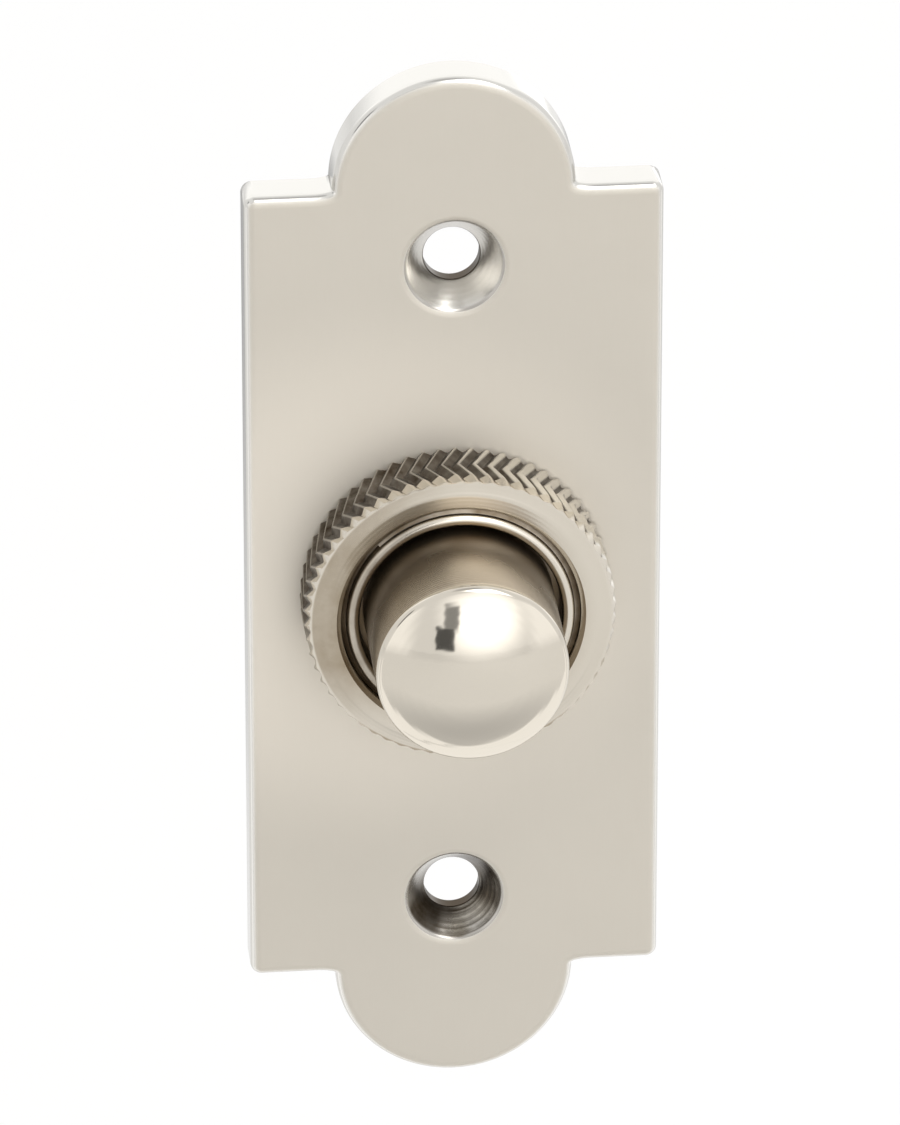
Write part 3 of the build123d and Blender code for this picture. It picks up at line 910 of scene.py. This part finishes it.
def terminal_screw():
    """One terminal screw: a slotted cheese head and a plain core for the thread."""
    head = -screw_low.y
    under = head - terminal_head_height
    end = -screw_high.y
    bm = turned([
        (0, head), (terminal_head_radius, head), (terminal_head_radius, under),
        (terminal_thread_root, under), (terminal_thread_root, end), (0, end)],
        edges=(1,), edge_radius=terminal_head_edge, around=SMALL_ROUND)
    slot = block(
        2 * terminal_head_radius + OVER, terminal_slot_width, head - terminal_slot_depth, head + OVER)
    return shaped(bm, slot, "DIFFERENCE")


def terminal_thread():
    """The thread of one terminal screw, with a chamfered end."""
    end = -screw_high.y
    under = -screw_low.y - terminal_head_height
    half_pitch = terminal_pitch / 2
    ridge = helix(terminal_thread_root, terminal_radius, terminal_pitch,
                  end - half_pitch, under - half_pitch, SMALL_ROUND)
    outside = terminal_radius + fit_clearance
    limit = turned([
        (0, end), (terminal_thread_root, end), (outside, end + terminal_chamfer),
        (outside, under), (0, under)], around=SMALL_ROUND)
    return shaped(ridge, limit, "INTERSECT")


def terminal_nut():
    """One hexagon nut, its corners chamfered on both faces."""
    front, back = -nut_low.y, -nut_high.y
    across, up = nut_high.x, nut_high.z - terminal_height
    corner = max(across, up)
    flat = corner * cos(radians(30))
    drop = (corner - flat) * tan(radians(nut_corner_chamfer))
    hexagon = bmesh.new()
    corners = bmesh.ops.create_circle(hexagon, cap_ends=True, segments=6, radius=corner)["verts"]
    bmesh.ops.rotate(hexagon, verts=corners, cent=(0, 0, 0),
                     matrix=Matrix.Rotation(radians(0 if across > up else 30), 3, "Z"))
    bmesh.ops.translate(hexagon, verts=corners, vec=(0, 0, back))
    grown = bmesh.ops.extrude_face_region(hexagon, geom=hexagon.faces[:])["geom"]
    bmesh.ops.translate(hexagon, vec=(0, 0, front - back), verts=only(BMVert, grown))
    bmesh.ops.recalc_face_normals(hexagon, faces=hexagon.faces[:])
    bore = terminal_radius + terminal_fit
    inside, outside = flat - terminal_fit, corner + terminal_fit
    lathe = turned([
        (bore, front), (inside, front), (outside, front - drop), (outside, back + drop), (inside, back),
        (bore, back)], around=SMALL_ROUND)
    return shaped(hexagon, lathe, "INTERSECT")


def washer():
    """One plain washer with broken edges."""
    front, back = -washer_low.y, -washer_high.y
    bore = terminal_radius + terminal_fit
    return turned([(bore, front), (washer_radius, front), (washer_radius, back), (bore, back)],
                  edges=(0, 1, 2, 3), edge_radius=small_edge, around=SMALL_ROUND)


def retaining_ring():
    """The open spring ring, stamped, with broken edges."""
    front, back = -ring_low.y, -ring_high.y
    outer = ring_high.x
    bm = turned([(outer - ring_width, front), (outer, front), (outer, back), (outer - ring_width, back)],
                edges=(0, 1, 2, 3), edge_radius=ring_edge)
    gap = moved(block(ring_gap, outer, back - OVER, front + OVER), -outer / 2)
    return shaped(bm, gap, "DIFFERENCE")


# Finishes, with turning lines in rings where a face was turned
RINGS = {"wave_type": "RINGS", "rings_direction": "Y"}
nickel_plate = plate_nickel()
nickel_holes = nickel(
    "turned_nickel_countersinks", hole_film, "#3F3322", gloss=(0.2, 0.26), film_dull=0.05,
    metal=("#D6D3CC", "#DCD9D3"), lines=RINGS, centred=folded)
nickel_back = linished_nickel()
# The face's brown film is also painted shade on its upper left
nickel_collar = nickel(
    "turned_nickel_face", face_film_and_painted_shade, "#8A7A60", gloss=(0.17, 0.2), film_dull=0.1, lines=RINGS)
# The knurl's brown film is real dirt in the roots, and painted shade on the upper left
nickel_knurl = nickel(
    "knurled_nickel_teeth", knurl_film_and_painted_shade, "#3A2F23", gloss=(0.12, 0.22), film_dull=0.22,
    metal=("#DAD6CD", "#E0DCD4"))
nickel_barrel = nickel("turned_nickel_lip", barrel_film_and_painted_shade, "#6A5A45", gloss=(0.18, 0.26), lines=RINGS)
nickel_button = nickel(
    "polished_nickel_button", shank_film_and_painted_shade, "#75654F", film_dull=0.3, lines={"bands_direction": "Y"})
brass = turned_metal("turned_brass", "#D8BC7C", "#A8874E", 0.15, 0.2)
bronze = turned_metal("rolled_phosphor_bronze", "#D3A77C", "#A37650", 0.5, 0.25)
steel = turned_metal("blued_spring_steel", "#8C8C8E", "#5C5B5C", 0.4, 0.32)
silver = turned_metal("pressed_contact_silver", "#E4E2DC", "#BDB8AC", 0.1, 0.25)
phenolic = moulded_phenolic()
fibre = vulcanised_fibre()

# Pieces that show
piece("bell_plate", bell_plate(), [nickel_plate, nickel_back, nickel_holes], ["plate"],
      crease=25.0)
piece("chevron_collar", collar(), [nickel_collar, nickel_knurl], ["knurled_collar"],
      crease=22.0)
piece("bell_barrel", barrel(), [nickel_barrel], ["barrel"])
piece("barrel_thread_ridge", barrel_thread(), [nickel_barrel], [])
piece("domed_button", button(), [nickel_button], ["push_button"], body="button")
piece("moulded_base", moulded_base(), [phenolic], ["contact_base"])
piece("spring_ring", retaining_ring(), [steel], ["retaining_ring"])

# Terminals, one of each above and below the middle
for make, name, nodes in ((terminal_screw, "slotted_terminal_screws", ["terminal_screws"]),
                          (terminal_thread, "terminal_screw_threads", []),
                          (terminal_nut, "chamfered_terminal_nuts", ["terminal_nuts"]),
                          (washer, "plain_terminal_washers", ["terminal_washers"])):
    pair = joined(*(moved(make(), side * terminal_height) for side in (1, -1)))
    piece(name, pair, [brass], nodes)

# The contact leaf, with its crown under the button's tip, on a mesh of its own
leaf_mesh, leaf_foot, leaf_crown = leaf()
leaf_piece = piece("bent_contact_leaf", leaf_mesh, [bronze], ["contact_leaf"])
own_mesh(leaf_piece)

# Inner pieces that keep their CAD shape
for node, material in (("fixed_contact", bronze), ("contact_rivet", silver), ("button_tip", fibre)):
    mesh = frame["nodes"][node].data
    mesh.materials.clear()
    mesh.materials.append(material)

# Stage, in metres: a white floor below the bell push, bright to the camera and to reflections, with its
# shadow kept. FLOOR_GLOW is the share of brightness that is its own, and AMBIENT the light from all round
FLOOR_HEIGHT = -0.13
FLOOR_SIZE = 6.0
FLOOR_GLOW = 0.75
AMBIENT = 0.65


def stage_sheet(name, size, place, turn, material):
    """A flat sheet of the stage."""
    bm = bmesh.new()
    bm.loops.layers.uv.new("across")
    bmesh.ops.create_grid(bm, x_segments=1, y_segments=1, size=0.5, calc_uvs=True)
    bm.transform(Matrix.Translation(place) @ turn @ Matrix.Diagonal((*size, 1.0, 1.0)))
    mesh = bpy.data.meshes.new(name)
    bm.to_mesh(mesh)
    bm.free()
    mesh.materials.append(material)
    sheet = bpy.data.objects.new(name, mesh)
    bpy.context.scene.collection.objects.link(sheet)
    return sheet


def shown_white(tree):
    """1 for rays from the camera, from metal and through glass, otherwise 0."""
    path = add(tree, "LightPath")
    seen = add(tree, "Math", {0: path.outputs["Is Camera Ray"], 1: path.outputs["Is Glossy Ray"]},
               operation="MAXIMUM")
    return add(tree, "Math", {0: seen.outputs[0], 1: path.outputs["Is Transmission Ray"]},
               operation="MAXIMUM").outputs[0]


def white_floor():
    """Matt white card. Most of its brightness is its own, so that it stays white around the shadow."""
    material, tree = new_material("matt_white_card")
    matt = add(tree, "BsdfDiffuse", {"Color": linear("#F4F3F1")})
    own = add(tree, "Emission", {"Strength": 1.0})
    share = add(tree, "Math", {0: shown_white(tree), 1: FLOOR_GLOW}, operation="MULTIPLY")
    both = add(tree, "MixShader", {0: share.outputs[0], 1: matt.outputs[0], 2: own.outputs[0]})
    add(tree, "OutputMaterial", {"Surface": both.outputs[0]})
    return material


def lit_card(strength, fade):
    """A studio card or lamp front that glows evenly and fades out in a share of its width,
    so that the metal shows it without a hard edge."""
    material, tree = new_material("feathered_studio_card")
    across = add(tree, "SeparateXYZ", {0: add(tree, "TexCoord").outputs["UV"]})
    shares = []
    for axis in ("X", "Y"):
        inward = add(tree, "Math", {0: across.outputs[axis], 1: 0.5}, operation="PINGPONG")
        shares.append(add(tree, "MapRange", {"Value": inward.outputs[0], "From Max": fade},
                          interpolation_type="SMOOTHSTEP").outputs[0])
    glow = add(tree, "Emission", {"Strength": strength})
    clear = add(tree, "BsdfTransparent")
    both = add(tree, "MixShader", {0: overlap(tree, *shares), 1: clear.outputs[0], 2: glow.outputs[0]})
    add(tree, "OutputMaterial", {"Surface": both.outputs[0]})
    return material


def towards(azimuth, elevation, distance):
    """A place seen from the bell push: azimuth 0 is straight in front, positive to the right."""
    a, e = radians(azimuth), radians(elevation)
    return Vector((sin(a) * cos(e), -cos(a) * cos(e), sin(e))) * distance


stage_sheet("white_floor", (FLOOR_SIZE, FLOOR_SIZE), Vector((0, 0, FLOOR_HEIGHT)), Matrix.Identity(4),
            white_floor())

# Cards and lamp fronts that look at the bell push: azimuth, elevation, distance, size, strength and fade
for name, azimuth, elevation, distance, size, strength, fade in (
        ("front_softbox", 12, 21, 1.0, (1.5, 1.3), 2.6, 0.5),
        ("left_fill", -58, 14, 1.0, (0.9, 1.0), 1.35, 0.3),
        ("right_fill", 62, 14, 1.0, (0.9, 1.0), 1.35, 0.3),
        ("side_softbox", 35, 60, 0.9, (0.7, 0.6), 4.5, 0.3),
        ("back_panel", 180, 38, 1.3, (3.4, 2.0), 1.4, 0.25),
        ("back_glow", 150, 0, 1.0, (0.9, 0.4), 1.7, 0.3),
        ("dark_card", -16.0, 9, 0.8, (0.21, 0.26), 0.12, 0.12),
        ("grey_card", -12, 24, 0.8, (0.18, 0.32), 0.36, 0.2),
        ("ceiling_card", 0, 86, 1.0, (0.6, 0.5), 0.6, 0.35),
        ("left_flag", -84, 28, 0.9, (0.2, 0.4), 0.1, 0.25)):
    place = towards(azimuth, elevation, distance)
    turn = place.to_track_quat("Z", "Y").to_matrix().to_4x4()
    card = stage_sheet(name, size, place, turn, lit_card(strength, fade))
    card.visible_camera = False

# Cards that lie on the floor and show in the metal only: in front a painted shadow of the bell push on
# the floor, behind a soft shade, and a glow to both sides. Each is turned about a point on the middle line:
# that point's depth, the turn, the way from there to the card's middle, the lift off the floor, size,
# strength and fade
for name, depth, angle, way, lift, size, strength, fade in (
        ("painted_floor_shadow", -0.075, 0, 0.0, 0.001, (0.5, 0.2), 0.68, 0.5),
        ("rear_shade", 0.34, 0, 0.0, 0.001, (0.9, 0.4), 0.45, 0.5),
        ("left_glow", -0.042, 18, 0.035, 0.002, (1.6, 0.07), 1.3, 0.12),
        ("right_glow", -0.042, -10, 0.035, 0.002, (1.6, 0.07), 1.3, 0.12)):
    turn = Matrix.Rotation(radians(angle), 4, "Z")
    place = Vector((0, depth, FLOOR_HEIGHT + lift)) + turn @ Vector((0, way, 0))
    card = stage_sheet(name, size, place, turn, lit_card(strength, fade))
    card.visible_camera = card.visible_diffuse = card.visible_shadow = False

world = bpy.data.worlds.new("white_studio")
bpy.context.scene.world = world
world.use_nodes = True
world.node_tree.nodes.clear()
ambient = add(world.node_tree, "MapRange", {
    "Value": shown_white(world.node_tree), "To Min": AMBIENT, "To Max": 1.0})
sky = add(world.node_tree, "Background", {"Color": linear("#FFFFFF"), "Strength": ambient.outputs[0]})
add(world.node_tree, "OutputWorld", {"Surface": sky.outputs[0]})

# Camera, at the photograph's angle
VIEW_AZIMUTH = -5.5
VIEW_ELEVATION = 26.5
VIEW_DISTANCE = 0.8376
VIEW_CENTRE = Vector((-0.00001, 0, 0.00033))
LENS = 336.0
camera = bpy.data.objects.new("camera", bpy.data.cameras.new("camera"))
camera.data.lens = LENS
camera.data.sensor_width = 36.0
camera.data.clip_start = 0.05
away = towards(VIEW_AZIMUTH, VIEW_ELEVATION, VIEW_DISTANCE)
camera.location = VIEW_CENTRE + away
camera.rotation_euler = away.to_track_quat("Z", "Y").to_euler()
bpy.context.scene.collection.objects.link(camera)
bpy.context.scene.camera = camera
bpy.context.scene.view_settings.view_transform = "Standard"
